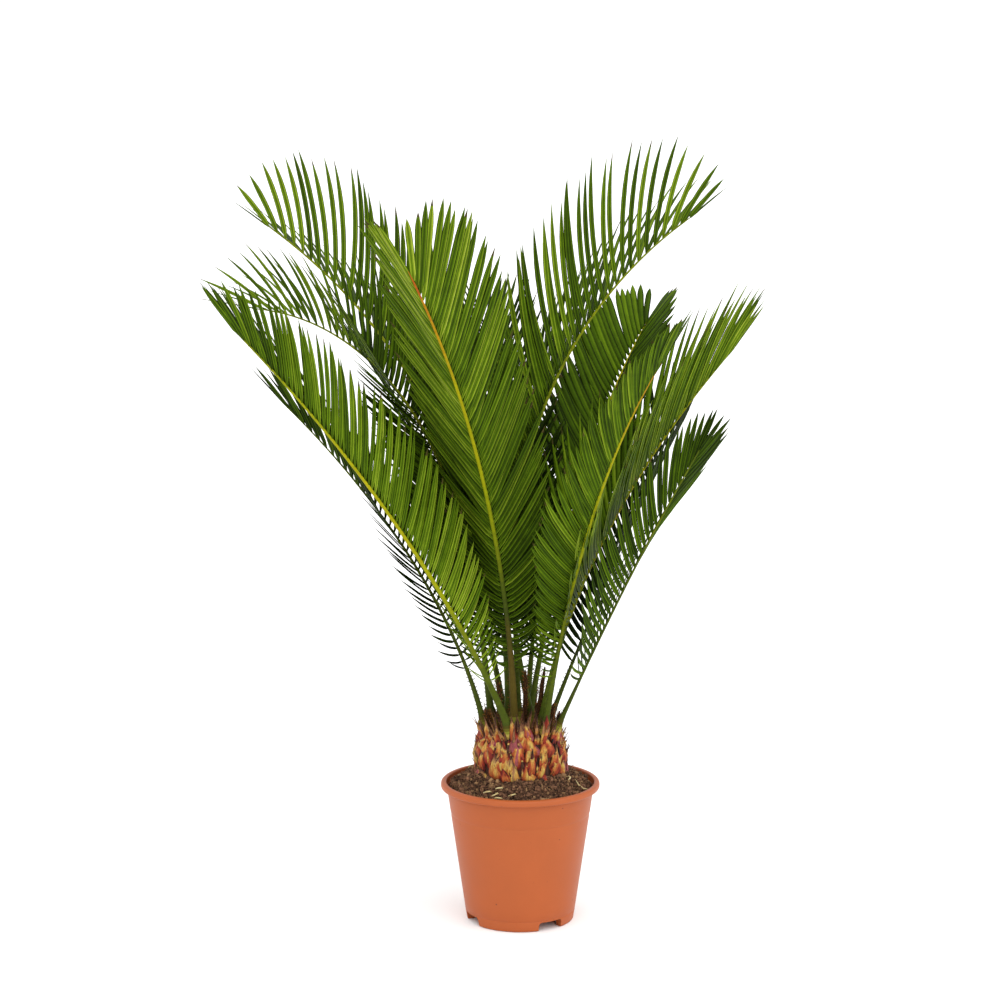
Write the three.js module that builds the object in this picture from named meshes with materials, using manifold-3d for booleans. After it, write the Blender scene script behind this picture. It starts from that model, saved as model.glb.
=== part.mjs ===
// Sago palm in a round nursery pot.
// Millimetres, +Z up, +X right, +Y to the back. The origin is the centre of the pot's flat underside.
import * as THREE from 'three';
import { mergeVertices } from 'three/addons/utils/BufferGeometryUtils.js';
import Module from 'manifold-3d';

const wasm = await Module();
wasm.setup();

const GAP = 0.35;                 // clear space left between neighbouring pieces

// Pot
const POT_HEIGHT = 151;
const POT_FOOT_RADIUS = 57.5;     // outside, at the ground
const POT_NECK_RADIUS = 78.5;     // outside, just under the lip
const POT_WALL = 1.5;
const POT_FLOOR = 2.2;
const FOOT_RING_RADIUS = 49.5;    // inside of the ring that the pot stands on
const RAISED_FLOOR = 9.6;         // height of the underside between that ring and the middle boss
const BOSS_RADIUS = 14;           // flat boss in the middle of the underside, level with the ring
const LIP_RADIUS = 85;
const LIP_HEIGHT = 7.5;
const LIP_INNER_RADIUS = 79;
const STEP_HEIGHT = 117;          // height of the faint step in the wall
const STEP_DEPTH = 0.5;
const POT_SEGMENTS = 36;
const NOTCH_HEIGHT = 9.5;
const NOTCH_WIDTH = 28.6;
const NOTCH_INNER_RADIUS = 42;
const NOTCH_HEADINGS = [-154.5, -55.9, 25.5, 124.1]; // azimuths of the drainage notches

// Soil
const SOIL_EDGE_HEIGHT = 144;
const SOIL_MOUND_HEIGHT = 164;
const SOIL_SEGMENTS = 28;
const SOIL_FLOOR_CLEARANCE = 0.4;
const RECESS_CLEARANCE = 0.9;     // between the scales and the recess in the soil

// Caudex, the scaly foot of the plant
const CAUDEX_PROFILE = [
  [40, 136], [46, 150], [49, 166], [49, 180], [46.5, 193], [42.5, 204], [35, 210], [18, 213],
];
const CAUDEX_TOP = 214;
const SHOULDER_HEIGHT = 204;
const SCALE_COLUMNS = 14;         // scales round one row
const SCALE_ROW_HEIGHT = 13;
const SCALE_RELIEF = 2.2;
const CAUDEX_SEGMENTS = SCALE_COLUMNS * 2;

// Bracts, the dry spikes that stand between the stalks
const BRACT_COUNT = 24;
const BRACT_FOOT_RADIUS = 3.4;
const BRACT_LENGTH = 26;
const BRACT_RINGS = [44, 33, 22];
const BRACT_SUNK = 5;

// Fronds
const SEAT_HEIGHT = 208;          // height of the stalk feet at the edge of the crown
const SEAT_RISE = 4;              // how much higher the middle of the crown is
const SEAT_EDGE = 40;
const STALK_SUNK = 7;             // length of a stalk inside the caudex
const BARE_STALK = 72;            // stalk below the first leaflets
const RIB_FOOT_RADIUS = 4.2;
const RIB_MIDDLE_RADIUS = 2.6;
const RIB_TIP_RADIUS = 1.3;
const RIB_SIDES = 4;
const RIB_SEGMENTS = 10;

// Leaflets
const LEAFLET_SPACING = 8.5;      // near the foot; it widens towards the tip
const SPACING_GROWTH = 0.55;
const LEAFLET_STEP = 3;           // one solid leaflet stands for this many
const LEAFLET_WIDTH = 11.5;
const LONG_LEAFLET = 70;          // shorter leaflets than this are narrower too
const LEAFLET_THICKNESS = 1.5;
const LEAFLET_ROOT_WIDTH = 0.35;  // share of the full width
const LEAFLET_ROOT_DEPTH = 0.45;  // share of the full thickness
const LEAFLET_WIDEST = 0.4;       // place of the widest section along the leaflet
const FULL_UNTIL = 0.7;           // share of the frond up to which the leaflets keep their full length
const THIRDS = [0, 0.5, 1];       // places along a frond at which its twist and spread are given
const ANGLE_PLACES = [0.1, 0.3, 0.5, 0.7, 0.85, 0.95, 1];
const LEAFLET_ANGLES = [80, 66, 58, 52, 44, 30, 10];

// Each frond: where its stalk stands on the crown (seat: radius, azimuth), which way it heads and how far
// it leans from upright (heading, lean: at its foot, at its tip), how late it bends, its length, the length
// of its leaflets (leaf: in the middle, at the tip), its twist (roll) and how wide its leaflets spread
// (spread), both at its foot, middle and tip, and the angle between each row of leaflets and the frond's
// flat plane (keel).
// Azimuth 0 is +X, 90 is +Y (the back), -90 the front.
const FRONDS = [
  {
    name: 'frond_front', seat: [18, -111], heading: [-110, -113], lean: [1, 47],
    bend: 0.7, length: 590, leaf: [134, 52], roll: [-14, -21, -18], spread: [1.18, 1.09, 1.3], keel: 60,
  },
  {
    name: 'frond_front_left', seat: [34, -106], heading: [-139, -140], lean: [24, 47],
    bend: 0.7, length: 582, leaf: [98, 56], roll: [-37, -28, -4], spread: [0.92, 0.82, 0.5], keel: 62,
  },
  {
    name: 'frond_front_right', seat: [34, -43], heading: [-64, -73], lean: [17, 57],
    bend: 1.2, length: 548, leaf: [84, 88], roll: [-37, -19, -28], spread: [0.96, 0.52, 0.28], keel: 37,
  },
  {
    name: 'frond_right_low', seat: [40, -21], heading: [-42, -43], lean: [28, 34],
    bend: 1.3, length: 380, leaf: [80, 44], roll: [-55, -7, 65], spread: [0.73, 0.65, 0.34], keel: 36,
  },
  {
    name: 'frond_right_long', seat: [24, -30], heading: [-24, -25], lean: [7, 41],
    bend: 0.7, length: 477, leaf: [140, 56], roll: [-50, -39, 1], spread: [1.2, 0.65, 0.36], keel: 38,
  },
  {
    name: 'frond_right_high', seat: [16, 20], heading: [18, 16], lean: [-16, 58],
    bend: 1.17, length: 613, leaf: [152, 56], roll: [44, 50, 48], spread: [0.86, 0.54, 1.1], keel: 52,
  },
  {
    name: 'frond_right_back', seat: [36, 33], heading: [36, 37], lean: [27, 36],
    bend: 1.4, length: 375, leaf: [101, 52], roll: [0, 0, 0], spread: [0.7, 0.7, 0.7], keel: 48,
  },
  {
    name: 'frond_back_right', seat: [18, 61], heading: [59, 63], lean: [19, 58],
    bend: 1.4, length: 508, leaf: [88, 50], roll: [-13, -15, -4], spread: [0.85, 0.84, 1.1], keel: 42,
  },
  {
    name: 'frond_left_high', seat: [16, 149], heading: [144, 147], lean: [-4, 63],
    bend: 0.87, length: 650, leaf: [146, 50], roll: [-60, -58, -64], spread: [0.87, 0.66, 1.04], keel: 44,
  },
  {
    name: 'frond_left_arching', seat: [30, 174], heading: [178, 178], lean: [6, 86],
    bend: 2.4, length: 556, leaf: [112, 66], roll: [90, 92, -48], spread: [0.82, 0.56, 1.3], keel: 46,
  },
  {
    name: 'frond_left_low', seat: [38, 187], heading: [196, 197], lean: [11, 45],
    bend: 0.7, length: 427, leaf: [84, 46], roll: [87, 60, -25], spread: [0.8, 0.67, 0.48], keel: 40,
  },
  {
    name: 'frond_back', seat: [13, 98], heading: [98, 98], lean: [12, 60],
    bend: 1.2, length: 500, leaf: [117, 58], roll: [0, 0, 0], spread: [0.8, 0.8, 0.8], keel: 48,
  },
  {
    name: 'frond_back_left', seat: [30, 120], heading: [122, 122], lean: [20, 66],
    bend: 1.2, length: 510, leaf: [118, 58], roll: [0, 0, 0], spread: [0.8, 0.8, 0.8], keel: 48,
  },
  {
    name: 'frond_back_low', seat: [38, 80], heading: [80, 80], lean: [26, 64],
    bend: 1.2, length: 470, leaf: [113, 56], roll: [0, 0, 0], spread: [0.8, 0.8, 0.8], keel: 48,
  },
];

const radians = THREE.MathUtils.degToRad;
const smooth = (from, to, x) => THREE.MathUtils.smoothstep(x, from, to);
const polar = (radius, azimuth, z) =>
  new THREE.Vector3(radius * Math.cos(radians(azimuth)), radius * Math.sin(radians(azimuth)), z);

// A repeatable number from -1 to 1 for a piece of a frond.
function wobble(row, place, kind) {
  const x = Math.sin(row * 12.9898 + place * 78.233 + kind * 37.719) * 43758.5453;
  return 2 * (x - Math.floor(x)) - 1;
}

function stepped(places, values, x) {
  let i = 1;
  while (i < places.length - 1 && x > places[i]) i += 1;
  const t = THREE.MathUtils.clamp((x - places[i - 1]) / (places[i] - places[i - 1]), 0, 1);
  return THREE.MathUtils.lerp(values[i - 1], values[i], t);
}

function toSolid(geometry) {
  const bare = geometry.index ? geometry.clone() : geometry;
  bare.deleteAttribute('normal');
  bare.deleteAttribute('uv');
  const merged = mergeVertices(bare, 1e-4);
  return new wasm.Manifold(new wasm.Mesh({
    numProp: 3,
    vertProperties: new Float32Array(merged.attributes.position.array),
    triVerts: new Uint32Array(merged.index.array),
  }));
}

function toGeometry(solid) {
  const mesh = solid.getMesh();
  const geometry = new THREE.BufferGeometry();
  geometry.setAttribute('position', new THREE.BufferAttribute(new Float32Array(mesh.vertProperties), 3));
  geometry.setIndex(new THREE.BufferAttribute(new Uint32Array(mesh.triVerts), 1));
  geometry.computeVertexNormals();
  return geometry;
}

// A closed surface of revolution about Z from [radius, height] points, which run anticlockwise.
function turned(profile, segments) {
  const geometry = new THREE.LatheGeometry(profile.map(([r, z]) => new THREE.Vector2(r, z)), segments);
  geometry.rotateX(Math.PI / 2);
  return geometry;
}

// ---- Pot ----

function potProfile() {
  const slope = (POT_NECK_RADIUS - POT_FOOT_RADIUS) / (POT_HEIGHT - LIP_HEIGHT);
  const outer = (z) => POT_FOOT_RADIUS + slope * z;
  const lipFoot = POT_HEIGHT - LIP_HEIGHT;
  const inside = lipFoot - 4;
  const floorTop = RAISED_FLOOR + POT_FLOOR;
  return [
    [0, 0],
    [BOSS_RADIUS, 0],
    [BOSS_RADIUS + 1.5, RAISED_FLOOR],
    [FOOT_RING_RADIUS - 1, RAISED_FLOOR],
    [FOOT_RING_RADIUS, 0],
    [POT_FOOT_RADIUS - 1, 0],
    [POT_FOOT_RADIUS, 1],
    [outer(STEP_HEIGHT) - STEP_DEPTH, STEP_HEIGHT],
    [outer(STEP_HEIGHT), STEP_HEIGHT + STEP_DEPTH],
    [POT_NECK_RADIUS, lipFoot],
    [LIP_RADIUS - 1.2, lipFoot],
    [LIP_RADIUS, lipFoot + 2.5],
    [LIP_RADIUS, POT_HEIGHT - 2.5],
    [LIP_RADIUS - 2, POT_HEIGHT],
    [LIP_INNER_RADIUS + 1, POT_HEIGHT],
    [LIP_INNER_RADIUS, POT_HEIGHT - 1.5],
    [outer(inside) - POT_WALL, inside],
    [outer(floorTop) - POT_WALL, floorTop],
    [0, floorTop],
  ];
}

function pot() {
  let solid = toSolid(turned(potProfile(), POT_SEGMENTS));
  const depth = LIP_RADIUS - NOTCH_INNER_RADIUS;
  for (const heading of NOTCH_HEADINGS) {
    const notch = new THREE.BoxGeometry(depth, NOTCH_WIDTH, 2 * NOTCH_HEIGHT);
    notch.translate(NOTCH_INNER_RADIUS + depth / 2, 0, 0);
    notch.rotateZ(radians(heading));
    solid = solid.subtract(toSolid(notch));
  }
  return solid;
}

// ---- Soil ----

// The recess that the caudex stands in, clear of its scales.
function caudexRecess() {
  const clear = SCALE_RELIEF + RECESS_CLEARANCE;
  const [lowest, ...wall] = CAUDEX_PROFILE.filter(([, z]) => z < SOIL_MOUND_HEIGHT + SCALE_ROW_HEIGHT);
  const profile = [
    [0, lowest[1] - GAP],
    [lowest[0] + clear, lowest[1] - GAP],
    ...wall.map(([r, z]) => [r + clear, z]),
    [0, SOIL_MOUND_HEIGHT + SCALE_ROW_HEIGHT],
  ];
  return toSolid(turned(profile, CAUDEX_SEGMENTS));
}

function soil() {
  const slope = (POT_NECK_RADIUS - POT_FOOT_RADIUS) / (POT_HEIGHT - LIP_HEIGHT);
  const inner = (z) => POT_FOOT_RADIUS + slope * z - POT_WALL - GAP;
  const bottom = RAISED_FLOOR + POT_FLOOR + SOIL_FLOOR_CLEARANCE;
  const edge = inner(SOIL_EDGE_HEIGHT - 8);
  const profile = [
    [0, bottom],
    [inner(bottom), bottom],
    [edge, SOIL_EDGE_HEIGHT - 8],
    [edge, SOIL_EDGE_HEIGHT],
    [66, SOIL_EDGE_HEIGHT + 6],
    [56, SOIL_EDGE_HEIGHT + 14],
    [44, SOIL_MOUND_HEIGHT],
    [0, SOIL_MOUND_HEIGHT],
  ];
  return toSolid(turned(profile, SOIL_SEGMENTS)).subtract(caudexRecess());
}

// ---- Caudex ----

// Raises diamond-shaped scales on the wall: rows are half a scale out of step with each other.
function caudexGeometry() {
  const lowest = CAUDEX_PROFILE[0][1];
  const rows = Math.round((SHOULDER_HEIGHT - lowest) / (SCALE_ROW_HEIGHT / 2));
  const outline = new THREE.SplineCurve(CAUDEX_PROFILE.map(([r, z]) => new THREE.Vector2(r, z)));
  const wall = outline.getSpacedPoints(rows + 3).map((p) => [p.x, p.y]);
  const geometry = turned([[0, lowest], ...wall, [0, CAUDEX_TOP]], CAUDEX_SEGMENTS);
  const position = geometry.attributes.position;
  for (let i = 0; i < position.count; i += 1) {
    const point = new THREE.Vector3().fromBufferAttribute(position, i);
    const radius = Math.hypot(point.x, point.y);
    const nearest = wall.findIndex(([r, z]) => Math.abs(z - point.z) < 0.01 && Math.abs(r - radius) < 0.01);
    if (nearest < 1 || nearest > rows) continue;
    const column = Math.round((Math.atan2(point.y, point.x) / (2 * Math.PI)) * CAUDEX_SEGMENTS);
    const raised = (column + nearest) % 2 === 0 ? SCALE_RELIEF : -SCALE_RELIEF / 2;
    position.setXY(i, point.x * (1 + raised / radius), point.y * (1 + raised / radius));
  }
  return geometry;
}

function bract(ring, azimuth, length) {
  const cone = new THREE.ConeGeometry(BRACT_FOOT_RADIUS, length, 4, 1);
  cone.scale(1, 1, 0.55);
  cone.translate(0, length / 2 - BRACT_SUNK, 0);
  cone.rotateX(Math.PI / 2);
  cone.rotateY(radians((ring / SEAT_EDGE) * 14));
  cone.rotateZ(radians(azimuth));
  const foot = polar(ring, azimuth, seatHeight(ring) - 2);
  cone.translate(foot.x, foot.y, foot.z);
  return toSolid(cone);
}

function caudex(stalkRoom) {
  let solid = toSolid(caudexGeometry()).subtract(stalkRoom);
  for (let i = 0; i < BRACT_COUNT; i += 1) {
    const ring = BRACT_RINGS[i % BRACT_RINGS.length];
    const azimuth = (360 / BRACT_COUNT) * i + 6 * wobble(i, 0, 1);
    const spike = bract(ring, azimuth, BRACT_LENGTH * (1 + 0.3 * wobble(i, 0, 2)));
    if (spike.intersect(stalkRoom).isEmpty()) solid = solid.add(spike);
  }
  return solid;
}

// ---- Fronds ----

function seatHeight(radius) {
  return SEAT_HEIGHT + SEAT_RISE * (1 - radius / SEAT_EDGE);
}

// Directions at a share u of the frond's length: along the rib, to its right side and to its upper face.
function frondAxes(frond, u) {
  const share = Math.max(u, 0);
  const azimuth = radians(THREE.MathUtils.lerp(frond.heading[0], frond.heading[1], share));
  const lean = radians(THREE.MathUtils.lerp(frond.lean[0], frond.lean[1], share ** frond.bend));
  const out = new THREE.Vector3(Math.cos(azimuth), Math.sin(azimuth), 0);
  const up = new THREE.Vector3(0, 0, 1);
  const along = out.clone().multiplyScalar(Math.sin(lean)).addScaledVector(up, Math.cos(lean));
  const level = new THREE.Vector3(Math.sin(azimuth), -Math.cos(azimuth), 0);
  const inward = out.clone().multiplyScalar(-Math.cos(lean)).addScaledVector(up, Math.sin(lean));
  const roll = radians(stepped(THIRDS, frond.roll, share));
  const side = level.clone().multiplyScalar(Math.cos(roll)).addScaledVector(inward, Math.sin(roll));
  const face = inward.clone().multiplyScalar(Math.cos(roll)).addScaledVector(level, -Math.sin(roll));
  return { along, side, face };
}

// Points of the rib's middle line, one every millimetre or so, from its seat to its tip.
function ribLine(frond) {
  const count = 120;
  const step = frond.length / count;
  const points = [polar(frond.seat[0], frond.seat[1], seatHeight(frond.seat[0]))];
  for (let i = 0; i < count; i += 1) {
    const { along } = frondAxes(frond, (i + 0.5) / count);
    points.push(points[i].clone().addScaledVector(along, step));
  }
  return points;
}

function pointAt(line, length, distance) {
  const place = THREE.MathUtils.clamp(distance / length, 0, 1) * (line.length - 1);
  const i = Math.min(Math.floor(place), line.length - 2);
  const point = line[i].clone().lerp(line[i + 1], place - i);
  if (distance < 0) {
    const foot = line[1].clone().sub(line[0]).normalize();
    point.addScaledVector(foot, distance);
  }
  return point;
}

function ribRadius(u) {
  if (u < 0.25) return THREE.MathUtils.lerp(RIB_FOOT_RADIUS, RIB_MIDDLE_RADIUS, smooth(0, 0.25, u));
  return THREE.MathUtils.lerp(RIB_MIDDLE_RADIUS, RIB_TIP_RADIUS, (u - 0.25) / 0.75);
}

// A rod bent onto the rib's line, from a distance along it to its tip.
function rib(frond, line, from, to, grow) {
  const rod = new THREE.CylinderGeometry(1, 1, 1, RIB_SIDES, RIB_SEGMENTS);
  const position = rod.attributes.position;
  for (let i = 0; i < position.count; i += 1) {
    const distance = THREE.MathUtils.lerp(from, to, position.getY(i) + 0.5);
    const u = distance / frond.length;
    const { side, face } = frondAxes(frond, u);
    const radius = ribRadius(Math.max(u, 0)) + grow;
    const point = pointAt(line, frond.length, distance);
    point.addScaledVector(side, position.getX(i) * radius);
    point.addScaledVector(face, position.getZ(i) * radius);
    position.setXYZ(i, point.x, point.y, point.z);
  }
  return toSolid(rod);
}

// From 0 where the leaflets are longest to 1 at the tip.
function smallEnd(u) {
  return Math.max(0, (u - FULL_UNTIL) / (1 - FULL_UNTIL)) ** 3;
}

// Where a leaflet leaves the rib, its two directions and its length.
function leafletPlan(frond, row, line, distance, hand, number) {
  const u = distance / frond.length;
  const { along, side, face } = frondAxes(frond, u);
  const spread = stepped(THIRDS, frond.spread, u);
  const angle = radians(spread * stepped(ANGLE_PLACES, LEAFLET_ANGLES, u) + 2 * wobble(row, number, hand));
  const keel = radians(frond.keel * (0.75 + 0.25 * smooth(0.1, 0.4, u)) + 3 * wobble(row, number, hand + 3));
  const grown = 0.18 + 0.82 * smooth(0.08, 0.42, u);
  const longest = THREE.MathUtils.lerp(frond.leaf[0], frond.leaf[1], smallEnd(u));
  const vary = 1 + 0.05 * wobble(row, number, hand + 6);
  const length = longest * grown * vary;
  const outward = side.clone().multiplyScalar(hand * Math.cos(keel)).addScaledVector(face, Math.sin(keel));
  const towards = (a) => along.clone().multiplyScalar(Math.cos(a)).addScaledVector(outward, Math.sin(a));
  return {
    root: pointAt(line, frond.length, distance),
    first: towards(angle * 1.12),
    last: towards(angle * 0.92),
    along,
    length,
  };
}

// A three-sided blade: narrow at its root in the rib, widest before its middle, ending in a point.
function leaflet(plan, grow) {
  const blade = new THREE.ConeGeometry(1, 1, 3, 2);
  const position = blade.attributes.position;
  const middle = plan.root.clone().addScaledVector(plan.first, plan.length * LEAFLET_WIDEST);
  const tip = middle.clone().addScaledVector(plan.last, plan.length * (1 - LEAFLET_WIDEST) + grow);
  const chord = tip.clone().sub(plan.root).normalize();
  const across = plan.along.clone().addScaledVector(chord, -plan.along.dot(chord)).normalize();
  const thick = across.clone().cross(chord);
  const narrowing = Math.min(1, 0.45 + (0.55 * plan.length) / LONG_LEAFLET);
  for (let i = 0; i < position.count; i += 1) {
    const rise = position.getY(i) + 0.5;
    const ring = Math.max(1 - rise, 1e-9);
    const atRoot = rise < 0.25;
    const share = atRoot ? LEAFLET_ROOT_WIDTH : 1;
    const width = (LEAFLET_WIDTH * narrowing * share) / Math.sqrt(3) + grow;
    const depth = (LEAFLET_THICKNESS / 1.5) * (atRoot ? LEAFLET_ROOT_DEPTH : 1) + grow;
    const centre = rise > 0.75 ? tip : atRoot ? plan.root : middle;
    const x = rise > 0.75 ? 0 : (position.getX(i) / ring) * width;
    const z = rise > 0.75 ? 0 : (position.getZ(i) / ring) * depth;
    const point = centre.clone().addScaledVector(across, x).addScaledVector(thick, z);
    position.setXYZ(i, point.x, point.y, point.z);
  }
  return toSolid(blade);
}

// Distances along the rib at which leaflets stand.
function leafletPlaces(frond) {
  const places = [];
  let distance = BARE_STALK;
  while (distance < frond.length - 3) {
    places.push(distance);
    distance += LEAFLET_SPACING * (1 + SPACING_GROWTH * smooth(0.45, 1, distance / frond.length));
  }
  return places;
}

function leafletPlans(frond, row, line) {
  const places = leafletPlaces(frond);
  const plans = [];
  places.forEach((distance, number) => {
    if ((places.length - 1 - number) % LEAFLET_STEP !== 0) return;
    plans.push(leafletPlan(frond, row, line, distance, 1, number));
    plans.push(leafletPlan(frond, row, line, distance, -1, number));
  });
  return plans;
}

// Fuses the leaflets that keep clear of everything already standing.
function leafyFrond(frond, row, line, taken) {
  let solid = rib(frond, line, -STALK_SUNK, frond.length, 0);
  for (const plan of leafletPlans(frond, row, line)) {
    const room = leaflet(plan, GAP);
    if (room.intersect(taken).isEmpty()) solid = solid.add(leaflet(plan, 0));
  }
  return solid;
}

// ---- Assembly ----

function finish(color, roughness) {
  return new THREE.MeshStandardMaterial({ color, roughness, metalness: 0 });
}

const plant = new THREE.Group();

function place(name, solid, material) {
  const mesh = new THREE.Mesh(toGeometry(solid), material);
  mesh.name = name;
  plant.add(mesh);
}

const lines = FRONDS.map(ribLine);
const ribRooms = FRONDS.map((frond, i) => rib(frond, lines[i], -STALK_SUNK - GAP, frond.length + GAP, GAP));
const stalkRoom = ribRooms.reduce((all, room) => all.add(room));
const caudexSolid = caudex(stalkRoom);
const frondSolids = [];
FRONDS.forEach((frond, i) => {
  let taken = caudexSolid;
  ribRooms.forEach((room, other) => {
    if (other > i) taken = taken.add(room);
  });
  frondSolids.forEach((solid) => {
    taken = taken.add(solid);
  });
  frondSolids.push(leafyFrond(frond, i, lines[i], taken));
});

place('pot', pot(), finish(0xc4683f, 0.55));
place('soil', soil(), finish(0x3a2a20, 1));
place('caudex', caudexSolid, finish(0xb5653a, 0.85));
FRONDS.forEach((frond, i) => place(frond.name, frondSolids[i], finish(0x4f7d24, 0.45)));

export default plant;
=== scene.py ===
import math
from collections import namedtuple

import bpy
import numpy as np
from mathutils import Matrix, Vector, noise


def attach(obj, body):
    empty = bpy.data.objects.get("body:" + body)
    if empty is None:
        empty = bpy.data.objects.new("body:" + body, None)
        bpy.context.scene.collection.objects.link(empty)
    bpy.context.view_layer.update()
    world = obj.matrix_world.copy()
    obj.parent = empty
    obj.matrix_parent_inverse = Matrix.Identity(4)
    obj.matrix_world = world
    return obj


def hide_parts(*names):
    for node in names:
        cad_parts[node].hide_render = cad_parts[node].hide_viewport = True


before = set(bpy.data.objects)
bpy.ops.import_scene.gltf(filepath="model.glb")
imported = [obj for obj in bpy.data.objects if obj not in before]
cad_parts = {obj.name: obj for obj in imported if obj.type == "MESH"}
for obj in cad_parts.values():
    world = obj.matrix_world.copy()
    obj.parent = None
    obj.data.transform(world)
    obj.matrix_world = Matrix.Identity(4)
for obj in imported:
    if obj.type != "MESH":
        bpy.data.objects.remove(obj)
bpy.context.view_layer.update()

# ---- Sizes of the pot, soil and caudex ----

POT_HEIGHT = 0.151
POT_FOOT_RADIUS = 0.0575
POT_NECK_RADIUS = 0.0785
POT_WALL = 0.0015
LIP_RADIUS = 0.085
LIP_HEIGHT = 0.0075
LIP_INNER_RADIUS = 0.079
LIP_ROUNDING = 0.0030
LIP_UNDER_ROUNDING = 0.0026
LIP_INNER_ROUNDING = 0.0016
STEP_HEIGHT = 0.117
FOOT_LINE_HEIGHT = 0.0108
FOOT_ROUNDING = 0.0012
FOOT_RING_RADIUS = 0.0495
RAISED_FLOOR = 0.0096
FLOOR_THICKNESS = 0.002
BOSS_RADIUS = 0.014
NOTCH_HEIGHT = 0.0095
NOTCH_WIDTH = 0.0286
NOTCH_CORNER = 0.0032
NOTCH_HEADINGS = [-154.5, -55.9, 25.5, 124.1]

SOIL_RADIUS = 0.0762
SOIL_FOOT = 0.0125
SOIL_WALL_TOP = 0.136
SOIL_CLEARANCE = 0.00035
CAUDEX_FOOT = 0.1365
CAUDEX_TOP = 0.2112
CORE_INSET = 0.0030

# Radius and height along each profile.
SOIL_PROFILE = [
    (0.0, 0.168), (0.040, 0.1665), (0.047, 0.1640), (0.056, 0.1580), (0.066, 0.1510), (SOIL_RADIUS, 0.1455),
]
CAUDEX_PROFILE = [
    (0.040, 0.136), (0.046, 0.150), (0.0490, 0.166), (0.0490, 0.180),
    (0.0465, 0.193), (0.0425, 0.204), (0.035, 0.210), (0.018, 0.213),
]

# How many loose bits there are of each kind; hairs are counted for each stub and between the stalks.
CRUMB_COUNT = 2200
FIBRE_COUNT = 900
BRACT_COUNT = 230
FLAKE_COUNT = 280
STUB_HAIRS = 260
LOOSE_HAIRS = 500

# ---- Sizes and places of the fronds ----

SEAT_HEIGHT = 0.208
SEAT_RISE = 0.004
SEAT_EDGE = 0.040
STALK_SUNK = 0.007
BARE_STALK = 0.072
RIB_FOOT_RADIUS = 0.0042
RIB_MIDDLE_RADIUS = 0.0024
RIB_TIP_RADIUS = 0.0009
SPACING_GROWTH = 0.55
FULL_UNTIL = 0.7
USUAL_LENGTH = 0.59
SPINE_COUNT = 12
SPINE_START = 0.020
SPINE_SPACING = 0.0045
SPINE_RADIUS = 0.0005
FOOT_MIDDLE_TIP = [0.0, 0.5, 1.0]
ANGLE_PLACES = [0.1, 0.3, 0.5, 0.7, 0.85, 0.95, 1.0]
LEAFLET_ANGLES = [80.0, 66.0, 58.0, 52.0, 44.0, 30.0, 10.0]

# Places on the ramp of rib colours, from the foot of a rib to its tip.
EARTHY = [3.0, 3.0, 3.4, 5.4, 6.6, 7.2, 7.6, 8.0, 8.6, 9.2, 10.6]
RIPE = [4.0, 4.6, 5.4, 6.2, 6.8, 7.2, 7.6, 8.0, 8.6, 9.2, 10.6]
GOLD = [4.2, 4.6, 5.8, 6.8, 7.4, 7.8, 7.8, 7.6, 7.2, 6.6, 6.0]
OLIVE = [4.0, 4.2, 4.4, 4.8, 5.2, 5.6, 6.0, 6.2, 6.2, 6.0, 5.6]
YELLOW = [4.0, 4.4, 5.0, 5.8, 6.6, 7.2, 7.6, 7.8, 7.8, 7.8, 7.8]
GREEN = [4.0, 4.0, 4.2, 4.4, 4.6, 4.8, 5.0, 5.2, 5.2, 5.2, 5.0]

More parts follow.
